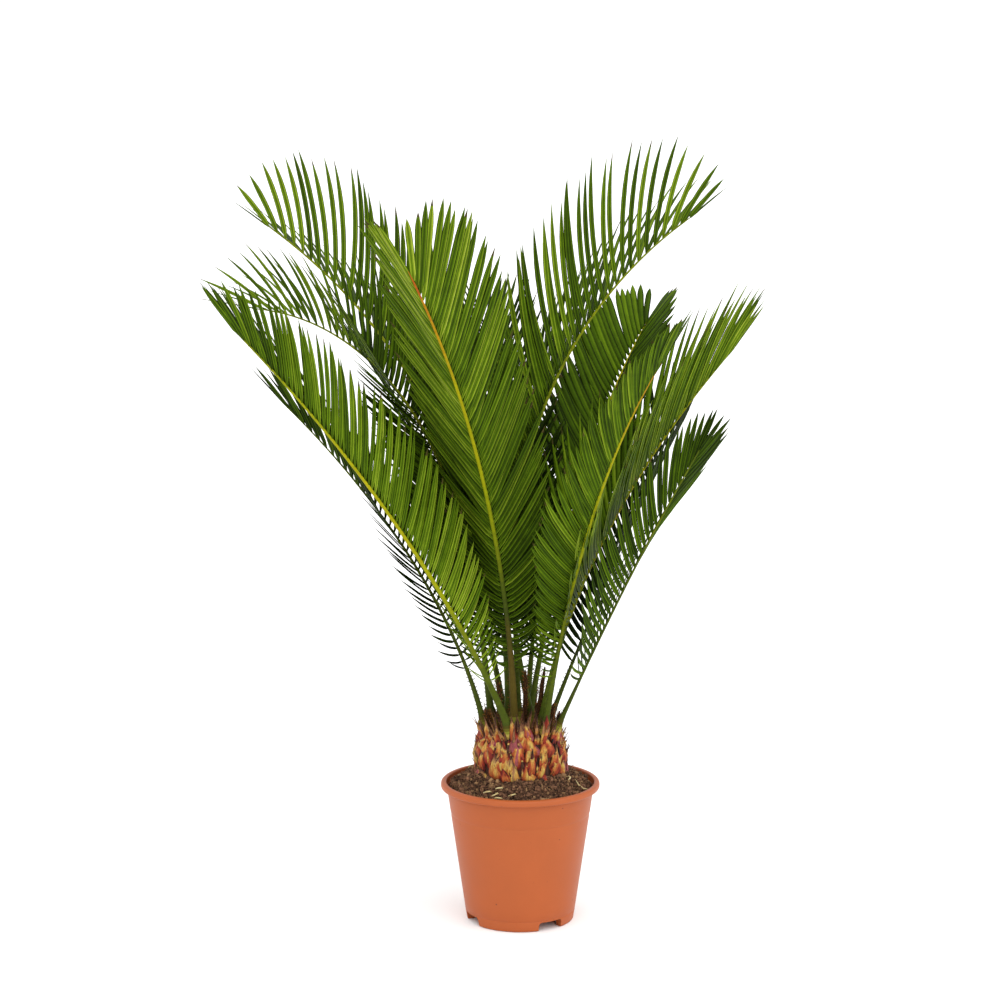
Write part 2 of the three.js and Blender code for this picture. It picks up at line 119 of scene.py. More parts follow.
# One frond. Pairs give the value at its foot and at its tip, threes at its foot, middle and tip.
# seat: distance from the middle and azimuth. heading: azimuth it leans to. lean: angle off the vertical.
# bend: how late along its length it bends over. leaf: length of its leaflets in the middle and at the tip.
# roll: turn about the rib. spread: share of the usual leaflet angle. keel: how far its leaflets rise from
# the rib. tilt: turn of each blade about its own length. gap: spacing of its leaflets. blade: their width
# in the middle and at the tip. tints and rib: places on the ramps of leaf and rib colours; the leaf tints
# are partly painted shade, darker for the fronds at the back and for the parts of fronds that lie in shade.
Frond = namedtuple(
    "Frond", "name seat heading lean bend length leaf roll spread keel tilt gap blade tints rib",
)
FRONDS = [
    Frond("frond_front", (0.018, -111), (-110, -113), (1, 47), 0.7, 0.590, (0.134, 0.052),
          (-14, -21, -18), (1.18, 1.09, 1.30), 60, -32, 0.0064, (0.0064, 0.0070), (3.4, 2.1), EARTHY),
    Frond("frond_front_left", (0.034, -106), (-139, -140), (24, 47), 0.7, 0.582, (0.098, 0.056),
          (-37, -28, -4), (0.92, 0.82, 0.50), 62, 7, 0.0058, (0.0064, 0.0050), (1.8, 3.1), GOLD),
    Frond("frond_front_right", (0.034, -43), (-64, -73), (17, 57), 1.2, 0.548, (0.084, 0.088),
          (-37, -19, -28), (0.96, 0.52, 0.28), 37, 7, 0.0064, (0.0058, 0.0062), (3.0, 2.8), RIPE),
    Frond("frond_right_low", (0.040, -21), (-42, -43), (28, 34), 1.3, 0.380, (0.080, 0.044),
          (-55, -7, 65), (0.73, 0.65, 0.34), 36, -14, 0.0078, (0.0052, 0.0054), (3.2, 4.4), GREEN),
    Frond("frond_right_long", (0.024, -30), (-24, -25), (7, 41), 0.7, 0.477, (0.140, 0.038),
          (-50, -39, 1), (1.20, 0.65, 0.36), 38, 12, 0.0068, (0.0052, 0.0050), (2.1, 2.3), GOLD),
    Frond("frond_right_high", (0.016, 20), (18, 16), (-16, 58), 1.17, 0.613, (0.152, 0.044),
          (44, 50, 48), (0.86, 0.54, 1.10), 52, 7, 0.0080, (0.0064, 0.0052), (3.2, 2.5), OLIVE),
    Frond("frond_right_back", (0.036, 33), (36, 37), (27, 36), 1.4, 0.375, (0.101, 0.052),
          (0, 0, 0), (0.7, 0.7, 0.7), 48, 7, 0.0080, (0.0054, 0.0054), (5.0, 5.2), GREEN),
    Frond("frond_back_right", (0.018, 61), (59, 63), (19, 58), 1.4, 0.508, (0.088, 0.050),
          (-13, -15, -4), (0.85, 0.84, 1.1), 42, -16, 0.0058, (0.0070, 0.0080), (3.6, 2.6), YELLOW),
    Frond("frond_left_high", (0.016, 149), (144, 147), (-4, 63), 0.87, 0.650, (0.146, 0.050),
          (-60, -58, -64), (0.87, 0.66, 1.04), 44, 7, 0.0090, (0.0074, 0.0058), (3.4, 2.8), OLIVE),
    Frond("frond_left_arching", (0.030, 174), (178, 178), (6, 86), 2.4, 0.556, (0.112, 0.066),
          (90, 92, -48), (0.82, 0.56, 1.30), 46, 7, 0.0056, (0.0062, 0.0034), (4.4, 2.4), OLIVE),
    Frond("frond_left_low", (0.038, 187), (196, 197), (11, 45), 0.7, 0.427, (0.084, 0.046),
          (87, 60, -25), (0.80, 0.67, 0.48), 40, 7, 0.0080, (0.0044, 0.0042), (4.8, 4.2), GREEN),
    # The fronds at the back get dark leaf tints: painted shade from the fronds in front of them.
    Frond("frond_back", (0.013, 98), (98, 98), (12, 60), 1.2, 0.500, (0.117, 0.058),
          (0, 0, 0), (0.8, 0.8, 0.8), 48, 7, 0.0080, (0.0070, 0.0062), (4.8, 3.8), OLIVE),
    Frond("frond_back_left", (0.030, 120), (122, 122), (20, 66), 1.2, 0.510, (0.118, 0.058),
          (0, 0, 0), (0.8, 0.8, 0.8), 48, 7, 0.0080, (0.0070, 0.0062), (4.8, 4.0), OLIVE),
    Frond("frond_back_low", (0.038, 80), (80, 80), (26, 64), 1.2, 0.470, (0.113, 0.056),
          (0, 0, 0), (0.8, 0.8, 0.8), 48, 7, 0.0080, (0.0070, 0.0062), (5.0, 4.2), OLIVE),
]

# ---- Small tools ----


def wobble(row, place, kind):
    """A repeatable number from -1 to 1; kind tells one use of it from another."""
    x = math.sin(row * 12.9898 + place * 78.233 + kind * 37.719) * 43758.5453
    return 2 * (x - math.floor(x)) - 1


def lerp(a, b, t):
    """The value a share t of the way from a to b."""
    return a + (b - a) * t


def smooth(start, end, x):
    """Rises from 0 to 1, with soft ends, as x goes from start to end."""
    t = min(max((x - start) / (end - start), 0.0), 1.0)
    return t * t * (3 - 2 * t)


def value_at(values, t):
    """The value at a share t of an evenly spaced list."""
    return float(np.interp(t, np.linspace(0, 1, len(values)), values))


def polar(radius, azimuth, z):
    """A point by its distance from the pot's axis, its azimuth and its height."""
    a = math.radians(azimuth)
    return np.array([radius * math.cos(a), radius * math.sin(a), z])


def circle(radius, z, segments):
    """Points all round the pot's axis at one height."""
    return [polar(radius, 360 * i / segments, z) for i in range(segments)]


def unit(v):
    return v / max(np.linalg.norm(v), 1e-12)


def radius_between(rng, inner, outer):
    """A chance radius that scatters places evenly over a ring."""
    return math.sqrt(rng.uniform(inner ** 2, outer ** 2))


def put_in_scene(name, data):
    """A new object that shows this mesh, light or camera."""
    holder = bpy.data.objects.new(name, data)
    bpy.context.scene.collection.objects.link(holder)
    return holder


def oval(centre, side, wide, other, deep, count):
    """Points round an oval section, from its middle, two directions and its half widths along them."""
    angles = [2 * math.pi * i / count for i in range(count)]
    return [centre + side * wide * math.cos(a) + other * deep * math.sin(a) for a in angles]


class Piece:
    """Gathers the surfaces of one piece, each face with the number of its finish."""

    def __init__(self):
        self.points = []
        self.faces = []
        self.finishes = []
        self.count = 0

    def patch(self, points, faces, finishes):
        """Adds faces, given by the places of their corners in points."""
        self.points.append(np.asarray(points, float).reshape(-1, 3))
        self.faces.extend(tuple(i + self.count for i in f) for f in faces)
        self.finishes.extend(finishes)
        self.count += len(self.points[-1])

    def sleeve(self, rings, finishes):
        """Joins rings of points and closes both ends; a band has one finish or a list of one per face."""
        rings = np.asarray(rings, float)
        around = len(rings[0])
        bands = [band if isinstance(band, list) else [band] * around for band in finishes]
        faces = []
        for k in range(len(bands)):
            for i in range(around):
                j = (i + 1) % around
                faces.append((k * around + i, k * around + j, (k + 1) * around + j, (k + 1) * around + i))
        faces.append(tuple(range(around - 1, -1, -1)))
        faces.append(tuple(len(bands) * around + i for i in range(around)))
        chosen = [number for band in bands for number in band]
        self.patch(rings, faces, chosen + [bands[0][0], bands[-1][0]])

    def make(self, name, materials, smooth_shaded=True):
        """The finished piece, placed in the scene."""
        mesh = bpy.data.meshes.new(name)
        mesh.from_pydata(np.concatenate(self.points).tolist(), [], self.faces)
        for material in materials:
            mesh.materials.append(material)
        mesh.polygons.foreach_set("material_index", self.finishes)
        mesh.polygons.foreach_set("use_smooth", [smooth_shaded] * len(self.faces))
        mesh.update()
        return put_in_scene(name, mesh)


def stand_for(piece, nodes):
    """A piece that takes the place of solids of the part."""
    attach(piece, "root")
    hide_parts(*nodes)
    return piece


def add_to(piece):
    """A piece that comes on top of the part's solids."""
    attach(piece, "root")
    return piece


# ---- Finishes ----


# Light in which screen values are read: open light for most colours. Leaf colours are read in shade and keep
# it as painted shade.
OPEN_LIGHT = 1.5
SHADED_LIGHT = 0.95


def colour(red, green, blue, light=OPEN_LIGHT):
    """The surface colour that shows as these screen values, 0 to 255, in this much light."""
    parts = []
    for value in (red, green, blue):
        c = value / 255
        parts.append((c / 12.92 if c <= 0.04045 else ((c + 0.055) / 1.055) ** 2.4) / light)
    return (*parts, 1.0)


def colours(*screen_values, light=OPEN_LIGHT):
    return [colour(*values, light) for values in screen_values]


def shaded(tint, factor):
    """The same tint, lighter or darker."""
    return tuple(min(c * factor, 1.0) for c in tint[:3]) + (1.0,)


def node(tree, kind, **values):
    """A shader node with its own settings and its inputs set by name."""
    made = tree.nodes.new(kind)
    for name, value in values.items():
        if hasattr(made, name):
            setattr(made, name, value)
        else:
            made.inputs[name.replace("_", " ")].default_value = value
    return made


def wire(tree, *joins):
    """Links nodes; each join names a node and its output, then a node and its input."""
    for source, output, target, socket in joins:
        tree.links.new(source.outputs[output], target.inputs[socket])


COLOUR = "NodeSocketColor"
NUMBER = "NodeSocketFloat"


def new_group(name, inputs, outputs):
    """An empty node group with its named sockets, and the nodes at its two ends."""
    group = bpy.data.node_groups.new(name, "ShaderNodeTree")
    for socket, kind in inputs:
        group.interface.new_socket(socket, in_out="INPUT", socket_type=kind)
    for socket, kind in outputs:
        group.interface.new_socket(socket, in_out="OUTPUT", socket_type=kind)
    return group, group.nodes.new("NodeGroupInput"), group.nodes.new("NodeGroupOutput")


def drift_group():
    """Turns one colour into a patchy one, and gives the patches as a mask."""
    group, start, end = new_group(
        "colour_drift",
        [("Light", COLOUR), ("Dark", COLOUR), ("Scale", NUMBER), ("Stretch", NUMBER), ("Softness", NUMBER)],
        [("Colour", COLOUR), ("Mask", NUMBER)],
    )
    place = node(group, "ShaderNodeTexCoord")
    squeeze = node(group, "ShaderNodeCombineXYZ", X=1.0, Y=1.0)
    spread = node(group, "ShaderNodeVectorMath", operation="MULTIPLY")
    patches = node(group, "ShaderNodeTexNoise", Detail=4.0, Roughness=0.6)
    low = node(group, "ShaderNodeMath", operation="SUBTRACT")
    low.inputs[0].default_value = 0.5
    high = node(group, "ShaderNodeMath", operation="ADD")
    high.inputs[0].default_value = 0.5
    cut = node(group, "ShaderNodeMapRange")
    mix = node(group, "ShaderNodeMix", data_type="RGBA")
    wire(
        group, (start, "Stretch", squeeze, "Z"), (place, "Object", spread, 0), (squeeze, 0, spread, 1),
        (spread, 0, patches, "Vector"), (start, "Scale", patches, "Scale"), (start, "Softness", low, 1),
        (start, "Softness", high, 1), (patches, "Fac", cut, "Value"), (low, 0, cut, "From Min"),
        (high, 0, cut, "From Max"), (cut, "Result", mix, 0), (start, "Dark", mix, 6),
        (start, "Light", mix, 7), (mix, 2, end, "Colour"), (cut, "Result", end, "Mask"),
    )
    return group


def grain_group():
    """Fine relief as a height, made of two sizes of grain."""
    group, start, end = new_group(
        "grain_relief", [("Scale", NUMBER), ("Fineness", NUMBER)], [("Height", NUMBER)],
    )
    place = node(group, "ShaderNodeTexCoord")
    coarse = node(group, "ShaderNodeTexNoise", Detail=3.0)
    fine_scale = node(group, "ShaderNodeMath", operation="MULTIPLY")
    fine = node(group, "ShaderNodeTexNoise", Detail=5.0)
    half = node(group, "ShaderNodeMath", operation="MULTIPLY_ADD")
    half.inputs[1].default_value = 0.5
    wire(
        group, (start, "Scale", fine_scale, 0), (start, "Fineness", fine_scale, 1),
        (place, "Object", coarse, "Vector"), (place, "Object", fine, "Vector"),
        (start, "Scale", coarse, "Scale"), (fine_scale, 0, fine, "Scale"), (fine, "Fac", half, 0),
        (coarse, "Fac", half, 2), (half, 0, end, "Height"),
    )
    return group


DRIFT = drift_group()
GRAIN = grain_group()


def finish(name, light, dark, scale, softness, roughness, bump, grain, stretch=1.0, specular=0.5):
    """A patchy two-tone finish with fine relief; scale and grain count the patches and grains in a metre."""
    material = bpy.data.materials.new(name)
    material.use_nodes = True
    tree = material.node_tree
    shader = tree.nodes["Principled BSDF"]
    shader.inputs["Specular IOR Level"].default_value = specular
    patches = node(
        tree, "ShaderNodeGroup", node_tree=DRIFT, Light=light, Dark=dark, Scale=scale, Stretch=stretch,
        Softness=softness,
    )
    worn = node(tree, "ShaderNodeMapRange", To_Min=roughness[0], To_Max=roughness[1])
    relief = node(tree, "ShaderNodeGroup", node_tree=GRAIN, Scale=grain, Fineness=3.0)
    lift = node(tree, "ShaderNodeBump", Strength=bump, Distance=0.001)
    wire(
        tree, (patches, "Colour", shader, "Base Color"), (patches, "Mask", worn, "Value"),
        (worn, "Result", shader, "Roughness"), (relief, "Height", lift, "Height"),
        (lift, "Normal", shader, "Normal"),
    )
    return material


def leaf_finish(name, tint):
    return finish(
        name, shaded(tint, 1.15), shaded(tint, 0.80), scale=70, softness=0.2, roughness=(0.5, 0.6),
        bump=0.06, grain=900, specular=0.03,
    )


def rib_finish(name, tint):
    return finish(
        name, shaded(tint, 1.1), shaded(tint, 0.82), scale=140, softness=0.2, roughness=(0.5, 0.6),
        bump=0.12, grain=1200, specular=0.05,
    )


def scale_finish(name, tint):
    """Dry leaf base, streaked along its length."""
    return finish(
        name, shaded(tint, 1.2), shaded(tint, 0.6), scale=560, softness=0.2, roughness=(0.55, 0.75),
        bump=0.8, grain=900, stretch=0.32, specular=0.2,
    )


def wool_finish(name, tint):
    return finish(
        name, tint, shaded(tint, 0.5), scale=700, softness=0.2, roughness=(0.8, 0.9),
        bump=0.6, grain=1200, stretch=0.3, specular=0.1,
    )


def soil_finish(name, light, dark, scale=420, softness=0.16, roughness=(0.9, 1.0), bump=1.0, specular=0.1):
    return finish(name, light, dark, scale, softness, roughness, bump, grain=900, specular=specular)


def ramp(tints, steps):
    """The tints with steps - 1 blends put in between each two."""
    blended = []
    for low, high in zip(tints, tints[1:]):
        blended += [tuple(lerp(a, b, k / steps) for a, b in zip(low, high)) for k in range(steps)]
    return blended + [tints[-1]]


# Screen values, from the palest green to the darkest, taken with the shade the leaves lie in, so the darker
# tints are partly painted shade.
LEAF_TINTS_AND_SHADE = colours(
    (164, 174, 66), (124, 142, 36), (86, 110, 14), (62, 86, 8), (44, 62, 6), (28, 42, 7), (14, 23, 7),
    light=SHADED_LIGHT,
)
LEAF_BLEND = 2
LEAVES = [leaf_finish(f"leaf_{i}", tint) for i, tint in enumerate(ramp(LEAF_TINTS_AND_SHADE, LEAF_BLEND))]
DRY_TIP = leaf_finish("leaf_dry_tip", colour(84, 76, 38))
FROND_FINISHES = LEAVES + [DRY_TIP]
DRY = len(LEAVES)

# Orange foot, yellow base and its green edge, brown and dark green stalk, then green, olive, lime, yellow,
# amber and orange.
RIB_TINTS = colours(
    (196, 128, 62), (214, 190, 92), (156, 156, 56), (96, 82, 30), (74, 86, 28), (90, 104, 24),
    (126, 136, 20), (160, 166, 16), (182, 174, 18), (196, 148, 22), (194, 104, 30),
)
RIB_BLEND = 3
DARK_STALK = 4
RIB_FINISHES = [rib_finish(f"rib_{i}", tint) for i, tint in enumerate(ramp(RIB_TINTS, RIB_BLEND))]


def plastic_finish():
    """Terracotta-coloured plastic with a few specks of dirt."""
    terracotta = colour(195, 98, 46)
    material = finish(
        "terracotta_plastic", shaded(terracotta, 1.06), shaded(terracotta, 0.94), scale=22, softness=0.3,
        roughness=(0.42, 0.50), bump=0.05, grain=1500, specular=0.27,
    )
    tree = material.node_tree
    shader = tree.nodes["Principled BSDF"]
    patches = shader.inputs["Base Color"].links[0].from_node
    place = node(tree, "ShaderNodeTexCoord")
    specks = node(tree, "ShaderNodeTexNoise", Scale=260.0, Detail=2.0)
    only_peaks = node(tree, "ShaderNodeMapRange", From_Min=0.735, From_Max=0.80)
    dirt = node(tree, "ShaderNodeMix", data_type="RGBA")
    dirt.inputs[7].default_value = colour(120, 66, 44)
    wire(
        tree, (place, "Object", specks, "Vector"), (specks, "Fac", only_peaks, "Value"),
        (only_peaks, "Result", dirt, 0), (patches, "Colour", dirt, 6), (dirt, 2, shader, "Base Color"),
    )
    return material


# ---- Pot ----

# The pot's section starts and ends this near its axis.
NEAR_AXIS = 0.0001


def wall_radius(z):
    """Outer radius of the tapered wall at a height."""
    slope = (POT_NECK_RADIUS - POT_FOOT_RADIUS) / (POT_HEIGHT - LIP_HEIGHT)
    return POT_FOOT_RADIUS + slope * z


def arc(centre, radius, start, end, steps):
    """Points on a round corner, from one angle to another."""
    points = []
    for i in range(steps + 1):
        a = math.radians(lerp(start, end, i / steps))
        points.append((centre[0] + radius * math.cos(a), centre[1] + radius * math.sin(a)))
    return points


def pot_profile():
    """Radius and height round the pot's section: underside, outer wall, lip, inner wall and inner floor."""
    lip_foot = POT_HEIGHT - LIP_HEIGHT
    line = FOOT_LINE_HEIGHT
    step = wall_radius(STEP_HEIGHT)
    profile = [(NEAR_AXIS, 0.0), (BOSS_RADIUS, 0.0), (BOSS_RADIUS + 0.0015, RAISED_FLOOR)]
    profile += [(FOOT_RING_RADIUS - 0.001, RAISED_FLOOR), (FOOT_RING_RADIUS, 0.0)]
    profile += arc((POT_FOOT_RADIUS - FOOT_ROUNDING, FOOT_ROUNDING), FOOT_ROUNDING, -90, 0, 5)
    profile += [(wall_radius(line - 0.0008), line - 0.0008), (wall_radius(line) - 0.00035, line)]
    profile += [(wall_radius(line + 0.0008), line + 0.0008)]
    profile += [(wall_radius(z), z) for z in np.linspace(0.02, STEP_HEIGHT - 0.004, 16)]
    profile += [(step - 0.00055, STEP_HEIGHT - 0.0006), (step - 0.00045, STEP_HEIGHT)]
    profile += [(step, STEP_HEIGHT + 0.0008)]
    profile += [(wall_radius(z), z) for z in np.linspace(STEP_HEIGHT + 0.003, lip_foot - 0.002, 5)]
    profile += [(POT_NECK_RADIUS, lip_foot), (POT_NECK_RADIUS + 0.0006, lip_foot + 0.0004)]
    under = LIP_UNDER_ROUNDING
    profile += arc((LIP_RADIUS - under, lip_foot + 0.0028), under, -80, 0, 6)
    profile += arc((LIP_RADIUS - LIP_ROUNDING, POT_HEIGHT - LIP_ROUNDING), LIP_ROUNDING, 5, 90, 8)
    inner = LIP_INNER_ROUNDING
    profile += arc((LIP_INNER_RADIUS + inner, POT_HEIGHT - inner), inner, 95, 180, 5)
    profile += [(LIP_INNER_RADIUS - 0.0002, lip_foot)]
    inside = RAISED_FLOOR + FLOOR_THICKNESS
    profile += [(wall_radius(z) - POT_WALL, z) for z in np.linspace(lip_foot - 0.003, inside, 8)]
    profile += [(NEAR_AXIS, inside)]
    return profile


def turned(piece, profile, segments, finish_of):
    """A closed surface of revolution about Z; finish_of gives the finish of each band."""
    rings = [circle(r, z, segments) for r, z in profile]
    piece.sleeve(rings, [finish_of(k) for k in range(len(profile) - 1)])


def notch_cutter(heading):
    """A round-cornered block that cuts one drainage notch."""
    corner = NOTCH_CORNER
    half = NOTCH_WIDTH / 2
    below_ground = -0.005
    outline = [(-half, below_ground), (half, below_ground)]
    outline += arc((half - corner, NOTCH_HEIGHT - corner), corner, 0, 90, 6)
    outline += arc((-half + corner, NOTCH_HEIGHT - corner), corner, 90, 180, 6)
    out = polar(1.0, heading, 0)
    along = np.array([-out[1], out[0], 0])
    rings = []
    inner_end = FOOT_RING_RADIUS - 0.008
    outer_end = 0.075
    for reach in (inner_end, outer_end):
        rings.append([out * reach + along * y + np.array([0, 0, z]) for y, z in outline])
    cutter = Piece()
    cutter.sleeve(rings, [0])
    return cutter.make("notch_cutter", [])


def cut_notches(pot):
    """Cuts the drainage notches for good, and takes the cutters away."""
    cutters = [notch_cutter(heading) for heading in NOTCH_HEADINGS]
    for cutter in cutters:
        step = pot.modifiers.new("notch", "BOOLEAN")
        step.operation = "DIFFERENCE"
        step.solver = "EXACT"
        step.object = cutter
    bpy.context.view_layer.update()
    shown = pot.evaluated_get(bpy.context.evaluated_depsgraph_get())
    cut = bpy.data.meshes.new_from_object(shown)
    pot.modifiers.clear()
    pot.data = cut
    for cutter in cutters:
        bpy.data.objects.remove(cutter)


def make_pot():
    """The thin-walled pot with its rolled lip, step line, foot line and drainage notches."""
    shell = Piece()
    turned(shell, pot_profile(), 160, lambda band: 0)
    pot = shell.make("nursery_pot", [plastic_finish()])
    cut_notches(pot)
    pot.data.polygons.foreach_set("use_smooth", [True] * len(pot.data.polygons))
    pot.data.set_sharp_from_angle(angle=math.radians(40))
    return stand_for(pot, ["pot"])


# ---- Soil ----


def soil_height(radius):
    """Height of the heap before its lumps."""
    radii, heights = zip(*SOIL_PROFILE)
    return float(np.interp(radius, radii, heights))


# Height of the lumps, their number in a metre, and a seed.
SOIL_LUMPS = [(0.0030, 55, 1.5), (0.0026, 140, 7.1), (0.0014, 380, 3.3)]


def soil_surface(x, y):
    """Height of the heaped soil, lumpy at several sizes and calmer at its edge."""
    radius = math.hypot(x, y)
    lumps = 0.0
    for height, scale, seed in SOIL_LUMPS:
        lumps += height * noise.noise(Vector((x * scale, y * scale, seed)))
    middle = smooth(SOIL_RADIUS, 0.070, radius)
    return soil_height(radius) + lumps * (0.35 + 0.65 * middle)


SOIL_FINISHES = [
    soil_finish("soil_dark", colour(118, 85, 64), colour(34, 24, 18), softness=0.14),
    soil_finish("soil_brown", colour(168, 122, 92), colour(74, 52, 39)),
    soil_finish("soil_straw", colour(190, 150, 106), colour(128, 94, 64), 300, 0.2, (0.8, 0.9), 0.5, 0.15),
]


def soil_wall_radius(z):
    """Radius of the soil where it lies against the pot's wall."""
    return wall_radius(z) - POT_WALL - SOIL_CLEARANCE


def make_soil():
    """The heap, filling the pot from its inner floor; its middle is hidden inside the caudex."""
    heap = Piece()
    segments = 220
    hidden_radius = 0.030
    hidden_height = 0.160
    rings = [circle(0.001, SOIL_FOOT, segments)]
    rings += [circle(soil_wall_radius(z), z, segments) for z in (SOIL_FOOT, SOIL_WALL_TOP)]
    for radius in np.linspace(SOIL_RADIUS, hidden_radius, 46):
        ring = circle(radius, 0, segments)
        for p in ring:
            p[2] = soil_surface(p[0], p[1])
        rings.append(ring)
    rings.append(circle(0.001, hidden_height, segments))
    heap.sleeve(rings, [0] * (len(rings) - 1))
    return stand_for(heap.make("soil_heap", SOIL_FINISHES), ["soil"])


def crumb(piece, rng, centre, size, tone):
    """One irregular lump: a squashed, dented ball of a few faces."""
    stretch = rng.uniform(0.6, 1.3, 3)
    rings = []
    turn = rng.uniform(0, 360)
    for k in range(5):
        height = math.cos(math.pi * (0.04 + 0.92 * k / 4))
        wide = math.sqrt(max(1 - height * height, 0.0))
        ring = []
        for i in range(7):
            dent = rng.uniform(0.75, 1.15)
            p = polar(wide * dent, turn + 360 * i / 7, height * rng.uniform(0.85, 1.1))
            ring.append(centre + p * size * stretch)
        rings.append(ring)
    piece.sleeve(rings[::-1], [tone] * 4)


def strand(piece, points, radius, tone, sides=4):
    """A thin rod along points, narrowing to its ends."""
    points = np.asarray(points, float)
    rings = []
    last = len(points) - 1
    for k, p in enumerate(points):
        ahead = unit(points[min(k + 1, last)] - points[max(k - 1, 0)])
        side = unit(np.cross(ahead, [0.31, 0.17, 0.93]))
        other = np.cross(ahead, side)
        r = radius * (1 - 0.75 * abs(2 * k / last - 1) ** 3)
        rings.append(oval(p, side, r, other, r, sides))
    piece.sleeve(rings, [tone] * last)


def bent_strand(start, heading, length, lift, curl, steps=6):
    """Points of a curved strand that rises and falls back as it turns."""
    points = [np.asarray(start, float)]
    for i in range(steps):
        heading = heading + curl / steps
        rise = lift * math.cos(math.pi * i / steps)
        ahead = unit(np.array([math.cos(heading), math.sin(heading), rise]))
        points.append(points[-1] + ahead * length / steps)
    return points


def make_crumbs():
    """Loose lumps scattered over the heap."""
    rng = np.random.default_rng(11)
    crumbs = Piece()
    for _ in range(CRUMB_COUNT):
        radius = radius_between(rng, 0.045, 0.0748)
        azimuth = rng.uniform(0, 360)
        size = rng.uniform(0.0005, 0.0019) * (1.9 if rng.uniform() < 0.12 else 1.0)
        p = polar(radius, azimuth, 0)
        p[2] = soil_surface(p[0], p[1]) + size * 0.25
        crumb(crumbs, rng, p, size, int(rng.choice([0, 0, 1, 1, 1, 2])))
    return add_to(crumbs.make("soil_crumbs", SOIL_FINISHES, smooth_shaded=False))


def make_fibres():
    """Fine plant fibres lying on the heap, kept above it and inside the pot."""
    rng = np.random.default_rng(23)
    fibres = Piece()
    edge = 0.0752
    for _ in range(FIBRE_COUNT):
        radius = radius_between(rng, 0.046, 0.0735)
        p = polar(radius, rng.uniform(0, 360), 0)
        p[2] = soil_surface(p[0], p[1]) + 0.0006
        length = rng.uniform(0.003, 0.011)
        points = bent_strand(p, rng.uniform(0, 6.28), length, rng.uniform(0, 0.5), rng.uniform(-2, 2))
        for q in points[1:]:
            q[2] = max(q[2], soil_surface(q[0], q[1]) + 0.0003)
            q[:2] *= min(1.0, edge / max(math.hypot(q[0], q[1]), 1e-6))
        strand(fibres, points, rng.uniform(0.00014, 0.00034), int(rng.choice([1, 1, 2])), 3)
    return add_to(fibres.make("soil_fibres", SOIL_FINISHES))


# Place and heading of each pale husk, and the line of the one dry twig.
HUSKS = [
    (-0.0335, -0.0585, 20), (-0.0215, -0.0560, 10), (-0.0245, -0.0640, 65), (-0.0070, -0.0660, 40),
    (-0.0240, -0.0705, -10), (0.012, 0.060, 80), (-0.050, 0.040, 150), (0.052, -0.026, 120),
]
HUSK_LENGTH = 0.0125
HUSK_STEPS = 8
TWIG = [(0.058, -0.024), (0.062, -0.029), (0.067, -0.031), (0.0735, -0.0305)]
TWIG_RADIUS = 0.0009


def husk(piece, x, y, heading):
    """A curved sliver, widest and highest in the middle."""
    base = np.array([x, y, soil_surface(x, y) + 0.0014])
    rings = []
    for k in range(HUSK_STEPS + 1):
        t = k / HUSK_STEPS
        a = heading + 1.5 * (t - 0.5)
        ahead = np.array([math.cos(a), math.sin(a), 0])
        across = np.array([-ahead[1], ahead[0], 0])
        lift = 0.0022 * math.sin(math.pi * t)
        p = base + ahead * (t - 0.5) * HUSK_LENGTH + np.array([0, 0, lift])
        half = 0.0013 * math.sin(math.pi * (0.06 + 0.88 * t)) ** 0.7
        rings.append([p + across * half, p + [0, 0, 0.0011], p - across * half, p - [0, 0, 0.0005]])
    piece.sleeve(rings, [0] * HUSK_STEPS)


def make_slivers():
    """Pale curved husks lying on the soil, and one dry twig."""
    pale = finish(
        "husk_cream", colour(232, 216, 160), colour(206, 176, 110), scale=200, softness=0.2,
        roughness=(0.5, 0.65), bump=0.3, grain=900,
    )
    slivers = Piece()
    for x, y, heading in HUSKS:
        husk(slivers, x, y, math.radians(heading))
    points = [np.array([x, y, soil_surface(x, y) + 0.0034]) for x, y in TWIG]
    strand(slivers, points, TWIG_RADIUS, 0, 5)
    return add_to(slivers.make("pale_husks", [pale]))


# ---- Caudex ----

# Near black, dark red, red, orange, pale orange, amber, yellow, tan, brown and dark brown.
SCALE_TINTS = colours(
    (48, 30, 24), (98, 34, 30), (156, 48, 34), (188, 84, 44), (204, 120, 56),
    (218, 156, 74), (230, 194, 98), (192, 138, 88), (138, 90, 60), (80, 50, 36),
)
SCALE_BLEND = 2
SCALE_FINISHES = [scale_finish(f"scale_{i}", tint) for i, tint in enumerate(ramp(SCALE_TINTS, SCALE_BLEND))]
PINK = len(SCALE_FINISHES)
SCALE_FINISHES.append(scale_finish("scale_pink", colour(170, 86, 88)))


def scale_tone(place):
    """Number of the finish at a place on the ramp of scale colours."""
    return min(max(int(round(place * SCALE_BLEND)), 0), PINK - 1)


# Places on that ramp from the foot of a scale to its tip.
SCALE_RECIPES = [
    [1.8, 2.6, 3.4, 4.0, 4.6, 5.2, 6.6, 8.2, 9.0],
    [1.4, 2.0, 2.6, 3.0, 3.4, 4.0, 5.4, 8.2, 9.0],
    [2.6, 3.8, 4.8, 5.6, 6.0, 6.0, 6.8, 8.2, 9.0],
    [1.0, 1.6, 2.2, 2.8, 3.6, 4.4, 7.6, 8.8, 9.0],
    [3.0, 4.0, 4.8, 5.2, 5.8, 6.2, 7.2, 8.6, 9.0],
    [1.8, 3.0, 4.0, 4.8, 5.6, 7.2, 8.2, 8.8, 9.0],
    [8.4, 7.8, 6.6, 5.4, 4.4, 4.0, 7.0, 9.0, 9.0],
    [1.2, 1.4, 1.8, 2.4, 2.8, 2.6, 1.6, 0.8, 0.2],
    [2.0, 3.0, 4.2, 4.8, 5.0, 4.2, 2.4, 1.0, 0.2],
]


def caudex_radius(z):
    """Radius of the caudex at a height."""
    radii, heights = zip(*CAUDEX_PROFILE)
    return float(np.interp(z, heights, radii))


